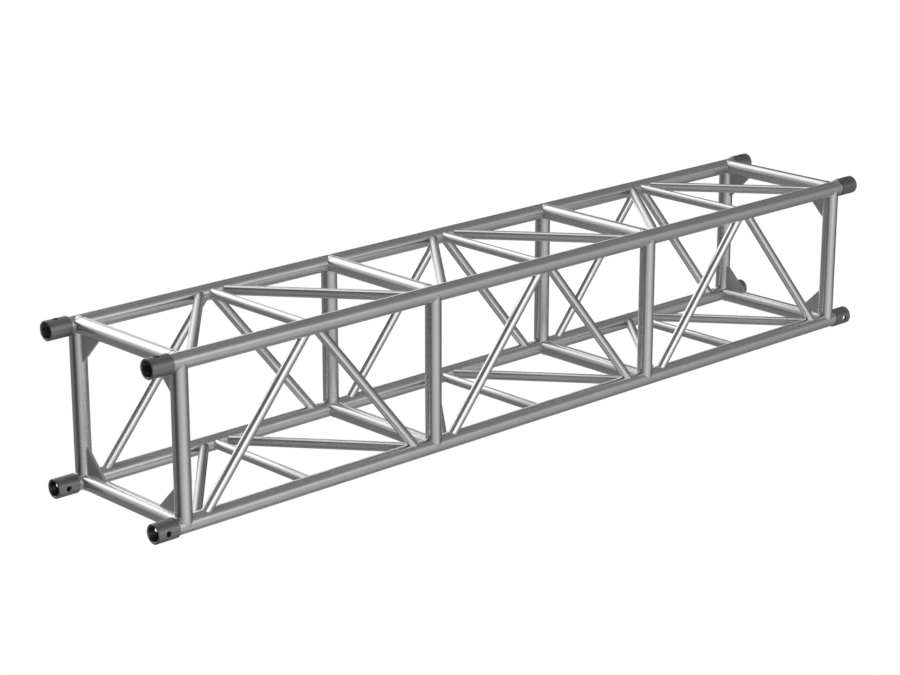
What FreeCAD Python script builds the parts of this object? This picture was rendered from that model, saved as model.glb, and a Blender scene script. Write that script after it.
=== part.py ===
import FreeCAD, Part
import os

# Lighting truss section: a welded square box truss, 3 m long in three equal bays, with a female
# coupler at each end of its four chords.
#
# Frame: +X runs along the section, +Y from its front face to its back face, +Z up. The origin is
# under the middle of the section, at the level its four bottom couplers rest on.

# ---- Driving dimensions, in millimetres ----
OVERALL_LENGTH = 3000.0         # from coupler face to coupler face
CHORD_SPACING = 470.0           # between chord centre lines, across and up
CHORD_OD = 50.0
CHORD_WALL = 4.0
BAYS = 3
END_FRAME_INSET = 105.0         # coupler face to the centre line of the end posts

FRAME_TUBE_OD = 50.0            # posts and full-size crossbars
FRAME_TUBE_WALL = 3.0
LIGHT_TUBE_OD = 30.0            # mid crossbars and braces
LIGHT_TUBE_WALL = 3.0
WELD_GAP = 0.1                  # clearance under every coped tube end

# Where brace centre lines cross the chord axes. Apexes are measured from the middle of a bay,
# feet from the nearer post.
SIDE_APEX = 9.5
SIDE_FOOT = 62.5
PLAN_APEX = 32.5
PLAN_FOOT = 39.5

COUPLER_OD = 59.0
COUPLER_LENGTH = 74.0
COUPLER_SOCKET_D = 46.0
COUPLER_SOCKET_DEPTH = 54.0
COUPLER_LEAD_IN = 1.5           # chamfer inside the mouth
COUPLER_RIM_CHAMFER = 1.0       # chamfer outside the mouth
COUPLER_REAR_TAPER = 3.0        # length of the cone down to the chord, which takes the weld
COUPLER_SPIGOT_LENGTH = 25.0    # turned end held inside the chord
COUPLER_SPIGOT_GAP = 0.1        # radial clearance of that end
PIN_HOLE_D = 17.0
PIN_HOLE_INSET = 32.0           # coupler face to the pin hole's axis

GUSSET_LEG = 82.0               # along each tube, from the corner the two tubes make
GUSSET_THICKNESS = 8.0

# ---- Derived positions ----
HALF_LENGTH = OVERALL_LENGTH / 2
HALF_SPACING = CHORD_SPACING / 2
CHORD_HALF_LENGTH = HALF_LENGTH - COUPLER_LENGTH
BOTTOM_Z = COUPLER_OD / 2
MIDDLE_Z = BOTTOM_Z + HALF_SPACING
TOP_Z = BOTTOM_Z + CHORD_SPACING
END_POST_X = HALF_LENGTH - END_FRAME_INSET
BAY_LENGTH = 2 * END_POST_X / BAYS
POST_X = [-END_POST_X + BAY_LENGTH * line for line in range(BAYS + 1)]
LEVELS = {"bottom": BOTTOM_Z, "top": TOP_Z}
SIDES = {"front": -HALF_SPACING, "back": HALF_SPACING}
ENDS = {"left": -1, "right": 1}


def vec(x, y, z):
    return FreeCAD.Vector(x, y, z)


def rod(start, end, radius):
    """Solid cylinder between two points."""
    run = end - start
    return Part.makeCylinder(radius, run.Length, start, run)


def tube(start, end, outside_d, wall):
    outer = rod(start, end, outside_d / 2)
    bore = rod(start, end, outside_d / 2 - wall)
    return outer.cut(bore)


def chord_cutter(y, z):
    """What a chord takes away from a tube that is coped to it."""
    radius = CHORD_OD / 2 + WELD_GAP
    return rod(vec(-CHORD_HALF_LENGTH, y, z), vec(CHORD_HALF_LENGTH, y, z), radius)


def post_cutter(x, y):
    radius = FRAME_TUBE_OD / 2 + WELD_GAP
    return rod(vec(x, y, BOTTOM_Z), vec(x, y, TOP_Z), radius)


def crossbar_cutter(x, z):
    radius = FRAME_TUBE_OD / 2 + WELD_GAP
    return rod(vec(x, -HALF_SPACING, z), vec(x, HALF_SPACING, z), radius)


def largest_solid(shape):
    """The tube itself, without the slivers that a cope leaves beyond the tube it fits."""
    return max(shape.Solids, key=lambda solid: solid.Volume)


def coped(blank, cutters):
    for cutter in cutters:
        blank = blank.cut(cutter)
    return largest_solid(blank)


def coupler(x_sign, y, z, pin_axis):
    """Turned receiver: a blind socket open outwards, a cross hole for the pin, a weld cone."""
    radius = COUPLER_OD / 2
    rear = -COUPLER_LENGTH
    spigot_radius = CHORD_OD / 2 - CHORD_WALL - COUPLER_SPIGOT_GAP
    socket_radius = COUPLER_SOCKET_D / 2
    outline = [
        (-COUPLER_SOCKET_DEPTH, 0),
        (-COUPLER_SOCKET_DEPTH, socket_radius),
        (-COUPLER_LEAD_IN, socket_radius),
        (0, socket_radius + COUPLER_LEAD_IN),
        (0, radius - COUPLER_RIM_CHAMFER),
        (-COUPLER_RIM_CHAMFER, radius),
        (rear + COUPLER_REAR_TAPER, radius),
        (rear, CHORD_OD / 2),
        (rear, spigot_radius),
        (rear - COUPLER_SPIGOT_LENGTH, spigot_radius),
        (rear - COUPLER_SPIGOT_LENGTH, 0),
    ]
    points = [vec(x_sign * (HALF_LENGTH + along), y, z + out) for along, out in outline]
    half_section = Part.Face(Part.makePolygon(points + points[:1]))
    body = half_section.revolve(vec(0, y, z), vec(1, 0, 0), 360)
    hole_x = x_sign * (HALF_LENGTH - PIN_HOLE_INSET)
    centre = vec(hole_x, y, z)
    pin_hole = rod(centre - pin_axis * COUPLER_OD, centre + pin_axis * COUPLER_OD, PIN_HOLE_D / 2)
    return body.cut(pin_hole)


def gusset(x, y_sign, z_sign):
    """Triangular plate in an inner corner of an end frame, coped to its post and crossbar."""
    inner = HALF_SPACING - FRAME_TUBE_OD / 2
    long_leg = GUSSET_LEG + FRAME_TUBE_OD
    corner_y = y_sign * HALF_SPACING
    corner_z = MIDDLE_Z + z_sign * HALF_SPACING
    reach = HALF_SPACING - long_leg
    low_x = x - GUSSET_THICKNESS / 2
    points = [
        vec(low_x, corner_y, corner_z),
        vec(low_x, corner_y, MIDDLE_Z + z_sign * reach),
        vec(low_x, y_sign * reach, corner_z),
    ]
    plate = Part.Face(Part.makePolygon(points + points[:1])).extrude(vec(GUSSET_THICKNESS, 0, 0))
    plate = plate.cut(post_cutter(x, corner_y))
    plate = plate.cut(crossbar_cutter(x, corner_z))
    inside = [s for s in plate.Solids if abs(s.CenterOfMass.y) < inner]
    return max(inside, key=lambda solid: solid.Volume)


nodes = {}

# Chords and the couplers on their ends. The top couplers take upright pins and the bottom
# couplers take level ones.
for level, z in LEVELS.items():
    pin_axis = vec(0, 0, 1) if level == "top" else vec(0, 1, 0)
    for side, y in SIDES.items():
        chord_ends = (vec(-CHORD_HALF_LENGTH, y, z), vec(CHORD_HALF_LENGTH, y, z))
        nodes[f"chord_{level}_{side}"] = tube(*chord_ends, CHORD_OD, CHORD_WALL)
        for end, x_sign in ENDS.items():
            nodes[f"coupler_{end}_{level}_{side}"] = coupler(x_sign, y, z, pin_axis)

# A post on each face at each bay line.
for side, y in SIDES.items():
    chords = [chord_cutter(y, BOTTOM_Z), chord_cutter(y, TOP_Z)]
    for number, x in enumerate(POST_X, 1):
        blank = tube(vec(x, y, BOTTOM_Z), vec(x, y, TOP_Z), FRAME_TUBE_OD, FRAME_TUBE_WALL)
        nodes[f"post_{side}_{number}"] = coped(blank, chords)

# A full-size crossbar at each bay line and a lighter one in the middle of each bay, top and
# bottom. The full-size ones are coped around the posts as well.
for level, z in LEVELS.items():
    chords = [chord_cutter(-HALF_SPACING, z), chord_cutter(HALF_SPACING, z)]
    for number, x in enumerate(POST_X, 1):
        blank = tube(vec(x, -HALF_SPACING, z), vec(x, HALF_SPACING, z), FRAME_TUBE_OD, FRAME_TUBE_WALL)
        posts = [post_cutter(x, -HALF_SPACING), post_cutter(x, HALF_SPACING)]
        nodes[f"crossbar_{level}_{number}"] = coped(blank, chords + posts)
    for bay in range(BAYS):
        x = POST_X[bay] + BAY_LENGTH / 2
        blank = tube(vec(x, -HALF_SPACING, z), vec(x, HALF_SPACING, z), LIGHT_TUBE_OD, LIGHT_TUBE_WALL)
        nodes[f"mid_crossbar_{level}_{bay + 1}"] = coped(blank, chords)

# Side braces: in each bay of the front and back faces they rise from the bottom chord to meet
# under the middle of the top chord.
for side, y in SIDES.items():
    chords = [chord_cutter(y, BOTTOM_Z), chord_cutter(y, TOP_Z)]
    for bay in range(BAYS):
        middle = POST_X[bay] + BAY_LENGTH / 2
        for hand, x_sign in ENDS.items():
            foot = vec(middle + x_sign * (BAY_LENGTH / 2 - SIDE_FOOT), y, BOTTOM_Z)
            apex = vec(middle + x_sign * SIDE_APEX, y, TOP_Z)
            blank = tube(foot, apex, LIGHT_TUBE_OD, LIGHT_TUBE_WALL)
            nodes[f"side_brace_{side}_{bay + 1}_{hand}"] = coped(blank, chords)

# Plan braces: in each bay of the top and bottom faces they run from the front chord, near the
# posts, to the back chord on each side of the mid crossbar.
for level, z in LEVELS.items():
    chords = [chord_cutter(-HALF_SPACING, z), chord_cutter(HALF_SPACING, z)]
    for bay in range(BAYS):
        middle = POST_X[bay] + BAY_LENGTH / 2
        for hand, x_sign in ENDS.items():
            foot = vec(middle + x_sign * (BAY_LENGTH / 2 - PLAN_FOOT), -HALF_SPACING, z)
            apex = vec(middle + x_sign * PLAN_APEX, HALF_SPACING, z)
            blank = tube(foot, apex, LIGHT_TUBE_OD, LIGHT_TUBE_WALL)
            nodes[f"plan_brace_{level}_{bay + 1}_{hand}"] = coped(blank, chords)

# Four gusset plates stiffen each end frame.
for end, x_sign in ENDS.items():
    plates = [gusset(x_sign * END_POST_X, y_sign, z_sign) for y_sign in (-1, 1) for z_sign in (-1, 1)]
    nodes[f"corner_gussets_{end}_end"] = Part.makeCompound(plates)

os.makedirs("parts", exist_ok=True)
for name, shape in nodes.items():
    shape.exportStep(os.path.join("parts", name + ".step"))
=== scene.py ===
import math

import bmesh
import bpy
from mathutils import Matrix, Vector


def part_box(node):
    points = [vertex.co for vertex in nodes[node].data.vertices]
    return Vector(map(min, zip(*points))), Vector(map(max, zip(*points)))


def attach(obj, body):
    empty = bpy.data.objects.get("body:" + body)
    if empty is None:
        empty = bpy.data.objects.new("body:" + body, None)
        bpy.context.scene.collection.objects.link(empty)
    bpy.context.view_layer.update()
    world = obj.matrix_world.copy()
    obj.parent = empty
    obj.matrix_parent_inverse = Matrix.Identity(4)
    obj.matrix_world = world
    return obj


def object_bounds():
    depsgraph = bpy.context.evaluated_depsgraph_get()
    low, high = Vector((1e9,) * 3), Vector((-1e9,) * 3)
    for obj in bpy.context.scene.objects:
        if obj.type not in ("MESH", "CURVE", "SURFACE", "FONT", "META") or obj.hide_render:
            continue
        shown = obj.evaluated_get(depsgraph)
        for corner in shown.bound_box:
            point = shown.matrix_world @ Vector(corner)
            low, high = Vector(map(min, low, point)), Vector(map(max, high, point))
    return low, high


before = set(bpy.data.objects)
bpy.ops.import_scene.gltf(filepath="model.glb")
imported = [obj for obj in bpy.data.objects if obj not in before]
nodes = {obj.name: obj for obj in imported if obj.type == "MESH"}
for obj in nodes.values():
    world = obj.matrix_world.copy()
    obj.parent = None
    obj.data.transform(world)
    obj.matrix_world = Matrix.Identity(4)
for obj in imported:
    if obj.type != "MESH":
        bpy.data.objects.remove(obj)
cad_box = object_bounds()

# ---- Sizes in metres, and counts and shares ----
WELD_RADIUS = 0.0011        # half the width of a weld bead on the full-size tubes
SMALL_WELD_RADIUS = 0.0010  # and on the braces, mid crossbars and gussets
WELD_RIPPLE = 0.12          # how much each puddle stands proud, as a share of the radius
WELD_PUDDLE = 0.0021        # distance from one puddle to the next
WELD_SIDES = 8
BEAD_STEP = 0.0007          # distance between rings of a bead
WELD_CORNERS = 96           # points round a coped tube end, and round a coupler
BEAD_TIP = 0.55             # thickness of a bead's open end, as a share of its full thickness
BEAD_TIP_RUN = 3            # it thickens by a full bead in this many bead radii
SLENDER = 0.3               # a straight tube's box is narrower than this share of its length
WALLS_READ = 24             # largest faces that a brace's direction is worked out from
FLOOR_HALF_SPAN = 60.0
FLOOR_GAP = 0.0005          # between the floor and the bottom couplers

# ---- Finishes: how light the bare metal is, and how rough ----
TUBE_SHADE = 0.66
TUBE_ROUGHNESS = 0.25
COUPLER_SHADE = 0.265
COUPLER_ROUGHNESS = 0.40
PLATE_SHADE = 0.62
PLATE_ROUGHNESS = 0.50
WELD_SHADE = 0.52
WELD_ROUGHNESS = 0.30

# Grain of each kind of metal: how far a line runs, and how wide it is.
DRAWN = (0.9, 0.0025)       # long lines along a drawn tube
TURNED = (0.0006, 0.03)     # lines round a turned part
ROLLED = (0.06, 0.0015)     # short lines along a rolled plate
CAST = (0.004, 0.004)       # no direction, as on a weld

# Unevenness of every metal, as shares of its shade and its roughness.
NOISE_RANGE = (0.3, 0.7)        # levels that nearly all of a noise lies between
GRAIN_IN_SHADE = 0.01
CLOUDS_IN_SHADE = 0.03
GRAIN_IN_ROUGHNESS = 0.04
CLOUDS_IN_ROUGHNESS = 0.08
CLOUDS_PER_METRE = 6.0
MARKS_PER_METRE = 55.0
RUBBED_ABOVE = (0.62, 0.78)     # noise level where a rub mark starts, and where it is full
RUB_ROUGHNESS = 0.05            # how much rougher a full rub mark is
HAIRLINE_STRENGTH = 0.05        # of the bump
HAIRLINE_DEPTH = 0.0001
HAIRLINE_FINENESS = 3           # hairlines are this many times finer than the grain

# ---- Soft lights, far off all round, in linear strength ----
# Each is (turn from +Y towards +X, height above level, reach, full core, strength). The first
# four are angles in degrees; a light is full over its core and fades to nothing at its reach.
SOFT_LIGHTS = {
    "front panel, right of the camera": (-165, 27, 24, 8, 1.05),
    "front panel, level": (-178, 7, 25, 8, 0.72),
    "broad front fill": (-178, -2, 82, 0, 0.58),
    "front right strip": (155, 17, 17, 8, 0.6),
    "back panel, above the section": (0, 38, 35, 0, 1.65),
    "back right window, low": (30, 0, 27, 12, 1.17),
    "back left panel": (-35, 20, 28, 0, 0.5),
    "back window, level": (-9, 15, 20, 6, 1.2),
    "overhead panel": (17, 80, 25, 14, 1.0),
    "upper right fill": (80, 52, 40, 24, 0.17),
    "floor glow, front right": (165, -42, 25, 0, 0.49),
    "floor glow, right": (90, -58, 53, 0, 0.18),
    "floor glow, back": (-12, -48, 58, 48, 0.16),
}
AMBIENT = 0.062             # the same strength from every direction

# ---- Camera ----
LENS_MM = 96.955
SENSOR_MM = 36.0
CAMERA_TURN = 43.2005       # degrees from +Y towards +X
CAMERA_TILT = 17.4104       # degrees below level
CAMERA_PLACE = (-5.0904, -5.2324, 2.5013)
CAMERA_SEES_TO = 200.0      # metres, enough for the floor behind the section


# ---------------------------------------------------------------- tubes, read from the frame

class Tube:
    """The axis, a point on it and the outside radius of a round tube node."""

    def __init__(self, name):
        mesh = nodes[name].data
        low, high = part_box(name)
        centre = (low + high) / 2
        self.axis = self.direction(mesh, high - low)
        helper = Vector((0, 1, 0)) if abs(self.axis.y) < 0.5 else Vector((0, 0, 1))
        self.across = self.axis.cross(helper).normalized()
        self.up = self.axis.cross(self.across)
        reach = [(v.co - centre).dot(self.across) for v in mesh.vertices]
        rise = [(v.co - centre).dot(self.up) for v in mesh.vertices]
        self.radius = (max(reach) - min(reach)) / 2
        self.point = centre + self.across * (max(reach) + min(reach)) / 2
        self.point += self.up * (max(rise) + min(rise)) / 2

    @staticmethod
    def direction(mesh, size):
        """Along the longest side of a straight tube's box, or worked out from a brace's walls."""
        order = sorted(range(3), key=lambda i: size[i])
        if size[order[1]] < SLENDER * size[order[2]]:
            along = Vector((0, 0, 0))
            along[order[2]] = 1
            return along
        walls = sorted(mesh.polygons, key=lambda f: -f.area)[:WALLS_READ]
        total = Vector((0, 0, 0))
        for i, one in enumerate(walls):
            for other in walls[i + 1:]:
                cross = one.normal.cross(other.normal)
                total += cross if cross.dot(total) >= 0 else -cross
        return total.normalized()

    def on_wall(self, turn, radius):
        """A point beside the tube's middle, a turn round its axis and a radius out from it."""
        return self.point + (self.across * math.cos(turn) + self.up * math.sin(turn)) * radius


def cope_distance(tube, origin, cutter, outward):
    """How far along the tube, from a point on its wall, its cope round another tube lies."""
    along = tube.axis - cutter.axis * tube.axis.dot(cutter.axis)
    gap = origin - cutter.point
    gap = gap - cutter.axis * gap.dot(cutter.axis)
    a = along.dot(along)
    b = along.dot(gap)
    c = gap.dot(gap) - cutter.radius ** 2
    root = math.sqrt(max(b * b - a * c, 0))
    return (-b - outward * root) / a


def cope_curve(tube, cutters, outward):
    """Points round a coped tube end, on its outer edge."""
    points = []
    for step in range(WELD_CORNERS):
        origin = tube.on_wall(2 * math.pi * step / WELD_CORNERS, tube.radius)
        reaches = [cope_distance(tube, origin, cutter, outward) for cutter in cutters]
        reach = min(reaches) if outward > 0 else max(reaches)
        points.append(origin + tube.axis * reach)
    return points


def resampled(points, step, closed):
    """The same line with its points an even distance apart."""
    loop = points + points[:1] if closed else points
    lengths = [(b - a).length for a, b in zip(loop, loop[1:])]
    total = sum(lengths)
    count = max(4, round(total / step))
    result = []
    index = 0
    passed = 0.0
    for number in range(count if closed else count + 1):
        target = total * number / count
        while index < len(lengths) - 1 and passed + lengths[index] < target:
            passed += lengths[index]
            index += 1
        share = (target - passed) / max(lengths[index], 1e-9)
        result.append(loop[index].lerp(loop[index + 1], min(share, 1)))
    return result


def add_bead(bm, points, closed, radius, phase=0.0):
    """A weld bead: a round fillet that swells once for each puddle along its line."""
    points = resampled(points, BEAD_STEP, closed)
    count = len(points)
    rings = []
    run = phase
    normal = None
    for index, here in enumerate(points):
        after = points[(index + 1) % count] if closed else points[min(index + 1, count - 1)]
        before = points[index - 1] if closed or index else points[0]
        ahead = (after - before).normalized()
        if normal is None:
            normal = ahead.orthogonal().normalized()
        normal = (normal - ahead * normal.dot(ahead)).normalized()
        other = ahead.cross(normal)
        run += BEAD_STEP
        puddle = (run / WELD_PUDDLE) % 1
        swell = 1 + WELD_RIPPLE * (1 - (2 * puddle - 1) ** 2)
        if not closed:
            from_end = min(index, count - 1 - index) * BEAD_STEP
            swell *= min(1, BEAD_TIP + from_end / (BEAD_TIP_RUN * radius))
        ring = []
        for side in range(WELD_SIDES):
            turn = 2 * math.pi * side / WELD_SIDES
            out = normal * math.cos(turn) + other * math.sin(turn)
            ring.append(bm.verts.new(here + out * radius * swell))
        rings.append(ring)
    for index in range(count if closed else count - 1):
        ring = rings[index]
        following = rings[(index + 1) % count]
        shift = 0
        if closed and index == count - 1:
            shift = min(range(WELD_SIDES), key=lambda s: (following[s].co - ring[0].co).length)
        for side in range(WELD_SIDES):
            nearby = (side + 1) % WELD_SIDES
            corners = (ring[side], ring[nearby], following[(nearby + shift) % WELD_SIDES],
                       following[(side + shift) % WELD_SIDES])
            bm.faces.new(corners)
    if not closed:
        bm.faces.new(list(reversed(rings[0])))
        bm.faces.new(rings[-1])


def finished_piece(bm, name, material):
    bmesh.ops.recalc_face_normals(bm, faces=bm.faces)
    mesh = bpy.data.meshes.new(name)
    bm.to_mesh(mesh)
    bm.free()
    mesh.materials.append(material)
    mesh.polygons.foreach_set("use_smooth", [True] * len(mesh.polygons))
    piece = bpy.data.objects.new(name, mesh)
    bpy.context.scene.collection.objects.link(piece)
    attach(piece, "root")
    return piece


# ---------------------------------------------------------------- materials

class Nodes:
    """Adds shader nodes to one tree and joins them."""

    def __init__(self, owner):
        owner.use_nodes = True
        self.tree = owner.node_tree
        self.tree.nodes.clear()

    def add(self, kind, **settings):
        node = self.tree.nodes.new("ShaderNode" + kind)
        for key, value in settings.items():
            setattr(node, key, value)
        return node

    def link(self, out, into):
        self.tree.links.new(out, into)


def grained(n, axis, along, across):
    """Object coordinates in which one unit is a grain's length along the axis or width across."""
    place = n.add("TexCoord")
    turn = n.add("Mapping", vector_type="TEXTURE")
    turn.inputs["Rotation"].default_value = axis.to_track_quat("Z", "Y").to_euler()
    turn.inputs["Scale"].default_value = (across, across, along)
    n.link(place.outputs["Object"], turn.inputs["Vector"])
    return turn.outputs["Vector"]


def noise(n, vector, scale, detail):
    node = n.add("TexNoise")
    node.inputs["Scale"].default_value = scale
    node.inputs["Detail"].default_value = detail
    n.link(vector, node.inputs["Vector"])
    return node.outputs["Fac"]


def spread(n, value, middle, share):
    """The middle number, more or less a share of itself where the noise is high or low."""
    node = n.add("MapRange")
    node.inputs["From Min"].default_value = NOISE_RANGE[0]
    node.inputs["From Max"].default_value = NOISE_RANGE[1]
    node.inputs["To Min"].default_value = middle * (1 - share)
    node.inputs["To Max"].default_value = middle * (1 + share)
    n.link(value, node.inputs["Value"])
    return node.outputs["Result"]


def maths(n, operation, one, other):
    node = n.add("Math", operation=operation)
    n.link(one, node.inputs[0])
    n.link(other, node.inputs[1])
    return node.outputs[0]


def metal(name, axis, grain, shade, roughness):
    """Bare aluminium: grain along or across an axis, cloudy patches and a few small rub marks."""
    material = bpy.data.materials.new(name)
    n = Nodes(material)
    along, across = grain
    lines = noise(n, grained(n, axis, along, across), 1.0, 3.0)
    fine = grained(n, axis, along / HAIRLINE_FINENESS, across / HAIRLINE_FINENESS)
    hairs = noise(n, fine, 1.0, 2.0)
    place = n.add("TexCoord").outputs["Object"]
    clouds = noise(n, place, CLOUDS_PER_METRE, 4.0)
    marks = noise(n, place, MARKS_PER_METRE, 5.0)
    tone = maths(n, "MULTIPLY", spread(n, lines, shade, GRAIN_IN_SHADE),
                 spread(n, clouds, 1.0, CLOUDS_IN_SHADE))
    dull = maths(n, "MULTIPLY", spread(n, lines, roughness, GRAIN_IN_ROUGHNESS),
                 spread(n, clouds, 1.0, CLOUDS_IN_ROUGHNESS))
    rubbed = n.add("MapRange")
    rubbed.inputs["From Min"].default_value = RUBBED_ABOVE[0]
    rubbed.inputs["From Max"].default_value = RUBBED_ABOVE[1]
    rubbed.inputs["To Max"].default_value = RUB_ROUGHNESS
    n.link(marks, rubbed.inputs["Value"])
    colour = n.add("CombineColor")
    for channel in colour.inputs:
        n.link(tone, channel)
    bump = n.add("Bump")
    bump.inputs["Strength"].default_value = HAIRLINE_STRENGTH
    bump.inputs["Distance"].default_value = HAIRLINE_DEPTH
    n.link(hairs, bump.inputs["Height"])
    shader = n.add("BsdfPrincipled")
    shader.inputs["Metallic"].default_value = 1.0
    n.link(colour.outputs[0], shader.inputs["Base Color"])
    n.link(maths(n, "ADD", dull, rubbed.outputs["Result"]), shader.inputs["Roughness"])
    n.link(bump.outputs["Normal"], shader.inputs["Normal"])
    n.link(shader.outputs[0], n.add("OutputMaterial").inputs["Surface"])
    return material


def family(name):
    """The kind of part a node is, and its hand if the two hands run in different directions."""
    words = [word for word in name.split("_") if not word.isdigit()]
    if "brace" in words:
        return f"{words[0]}_brace_{words[-1]}"
    return words[0]


along_x = Vector((1, 0, 0))
tubes = {name: Tube(name) for name in nodes if not name.startswith(("coupler", "corner"))}
metals = {
    "coupler": metal("turned_coupler", along_x, TURNED, COUPLER_SHADE, COUPLER_ROUGHNESS),
    "corner": metal("rolled_plate", Vector((0, 0, 1)), ROLLED, PLATE_SHADE, PLATE_ROUGHNESS),
}
for name, node in nodes.items():
    kind = family(name)
    if kind not in metals:
        label = f"drawn_{kind}_tube"
        metals[kind] = metal(label, tubes[name].axis, DRAWN, TUBE_SHADE, TUBE_ROUGHNESS)
    node.data.materials.clear()
    node.data.materials.append(metals[kind])
weld_metal = metal("weld_metal", along_x, CAST, WELD_SHADE, WELD_ROUGHNESS)


# ---------------------------------------------------------------- welds

def joined_tubes(name):
    """The tubes a coped tube fits: those at its lower or front end, then those at the other."""
    words = name.split("_")
    if name.startswith("post"):
        return [[f"chord_bottom_{words[1]}"], [f"chord_top_{words[1]}"]]
    if name.startswith("side_brace"):
        return [[f"chord_bottom_{words[2]}"], [f"chord_top_{words[2]}"]]
    if name.startswith("crossbar"):
        return [[f"chord_{words[1]}_{side}", f"post_{side}_{words[2]}"]
                for side in ("front", "back")]
    return [[f"chord_{words[2]}_front"], [f"chord_{words[2]}_back"]]


def tube_welds(piece_name, prefix, radius):
    """One bead round each end of each tube of a kind."""
    bm = bmesh.new()
    for number, name in enumerate(sorted(n for n in tubes if n.startswith(prefix))):
        tube = tubes[name]
        for end in joined_tubes(name):
            cutters = [tubes[other] for other in end]
            chord = cutters[0]
            nearest = chord.point + chord.axis * (tube.point - chord.point).dot(chord.axis)
            outward = 1 if (nearest - tube.point).dot(tube.axis) > 0 else -1
            add_bead(bm, cope_curve(tube, cutters, outward), True, radius, number * BEAD_STEP)
    finished_piece(bm, piece_name, weld_metal)


def coupler_welds():
    """One bead round each end of each chord, where the coupler's cone comes down to it."""
    bm = bmesh.new()
    for name in nodes:
        if not name.startswith("chord"):
            continue
        chord = tubes[name]
        low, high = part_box(name)
        for x in (low.x + WELD_RADIUS / 2, high.x - WELD_RADIUS / 2):
            ring = []
            for step in range(WELD_CORNERS):
                point = chord.on_wall(2 * math.pi * step / WELD_CORNERS, chord.radius)
                ring.append(Vector((x, point.y, point.z)))
            add_bead(bm, ring, True, WELD_RADIUS)
    finished_piece(bm, "welds_on_couplers", weld_metal)


def gusset_welds():
    """A bead down each face of each gusset plate, along the post and then the crossbar."""
    bm = bmesh.new()
    for end, number in (("left", 1), ("right", 4)):
        low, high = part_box(f"corner_gussets_{end}_end")
        mesh = nodes[f"corner_gussets_{end}_end"].data
        top = tubes[f"crossbar_top_{number}"].point.z
        bottom = tubes[f"crossbar_bottom_{number}"].point.z
        middle = (top + bottom) / 2
        tip = min(abs(v.co.z - middle) for v in mesh.vertices)
        inner = high.z - middle
        for x in (low.x, high.x):
            for y_sign in (-1, 1):
                for z_sign in (-1, 1):
                    line = [(tip, inner), (inner, inner), (inner, tip)]
                    points = [Vector((x, y_sign * y, middle + z_sign * z)) for y, z in line]
                    add_bead(bm, points, False, SMALL_WELD_RADIUS)
    finished_piece(bm, "welds_on_gussets", weld_metal)


tube_welds("welds_on_posts", "post", WELD_RADIUS)
tube_welds("welds_on_crossbars", "crossbar", WELD_RADIUS)
tube_welds("welds_on_mid_crossbars", "mid_crossbar", SMALL_WELD_RADIUS)
tube_welds("welds_on_side_braces", "side_brace", SMALL_WELD_RADIUS)
tube_welds("welds_on_plan_braces", "plan_brace", SMALL_WELD_RADIUS)
coupler_welds()
gusset_welds()


# ---------------------------------------------------------------- light, floor and camera

def soft_light(n, direction, turn, height, reach, core, strength):
    """One soft light's strength in every direction of the sky."""
    turn = math.radians(turn)
    height = math.radians(height)
    flat = math.cos(height)
    toward = n.add("VectorMath", operation="DOT_PRODUCT")
    x, y = flat * math.sin(turn), flat * math.cos(turn)
    toward.inputs[1].default_value = (x, y, math.sin(height))
    n.link(direction, toward.inputs[0])
    fade = n.add("MapRange", interpolation_type="SMOOTHSTEP")
    fade.inputs["From Min"].default_value = math.cos(math.radians(reach))
    fade.inputs["From Max"].default_value = math.cos(math.radians(core))
    fade.inputs["To Max"].default_value = strength
    n.link(toward.outputs["Value"], fade.inputs["Value"])
    return fade.outputs["Result"]


world = bpy.data.worlds.new("studio")
bpy.context.scene.world = world
n = Nodes(world)
direction = n.add("TexCoord").outputs["Generated"]
lights = [soft_light(n, direction, *light) for light in SOFT_LIGHTS.values()]
ambient = n.add("Value")
ambient.outputs[0].default_value = AMBIENT
total = ambient.outputs[0]
for light in lights:
    total = maths(n, "ADD", total, light)
lit = n.add("Background")
lit.inputs["Color"].default_value = (1, 1, 1, 1)
n.link(total, lit.inputs["Strength"])
plain = n.add("Background")
plain.inputs["Color"].default_value = (1, 1, 1, 1)
seen = n.add("LightPath")
pick = n.add("MixShader")
n.link(seen.outputs["Is Camera Ray"], pick.inputs[0])
n.link(lit.outputs[0], pick.inputs[1])
n.link(plain.outputs[0], pick.inputs[2])
n.link(pick.outputs[0], n.add("OutputWorld").inputs["Surface"])

floor_mesh = bpy.data.meshes.new("floor")
signs = ((-1, -1), (1, -1), (1, 1), (-1, 1))
corners = [(x * FLOOR_HALF_SPAN, y * FLOOR_HALF_SPAN, 0) for x, y in signs]
floor_mesh.from_pydata(corners, [], [(0, 1, 2, 3)])
floor = bpy.data.objects.new("floor", floor_mesh)
floor.location.z = cad_box[0].z - FLOOR_GAP
bpy.context.scene.collection.objects.link(floor)
floor_material = bpy.data.materials.new("pale_floor")
n = Nodes(floor_material)
glow = n.add("Emission")
n.link(glow.outputs[0], n.add("OutputMaterial").inputs["Surface"])
floor_mesh.materials.append(floor_material)
floor.visible_glossy = False
floor.visible_diffuse = False
floor.visible_shadow = False

camera_data = bpy.data.cameras.new("camera")
camera_data.lens = LENS_MM
camera_data.sensor_width = SENSOR_MM
camera_data.clip_end = CAMERA_SEES_TO
camera = bpy.data.objects.new("camera", camera_data)
camera.location = CAMERA_PLACE
camera.rotation_euler = (math.radians(90 - CAMERA_TILT), 0, math.radians(-CAMERA_TURN))
bpy.context.scene.collection.objects.link(camera)
bpy.context.scene.camera = camera
bpy.context.scene.view_settings.view_transform = "Standard"
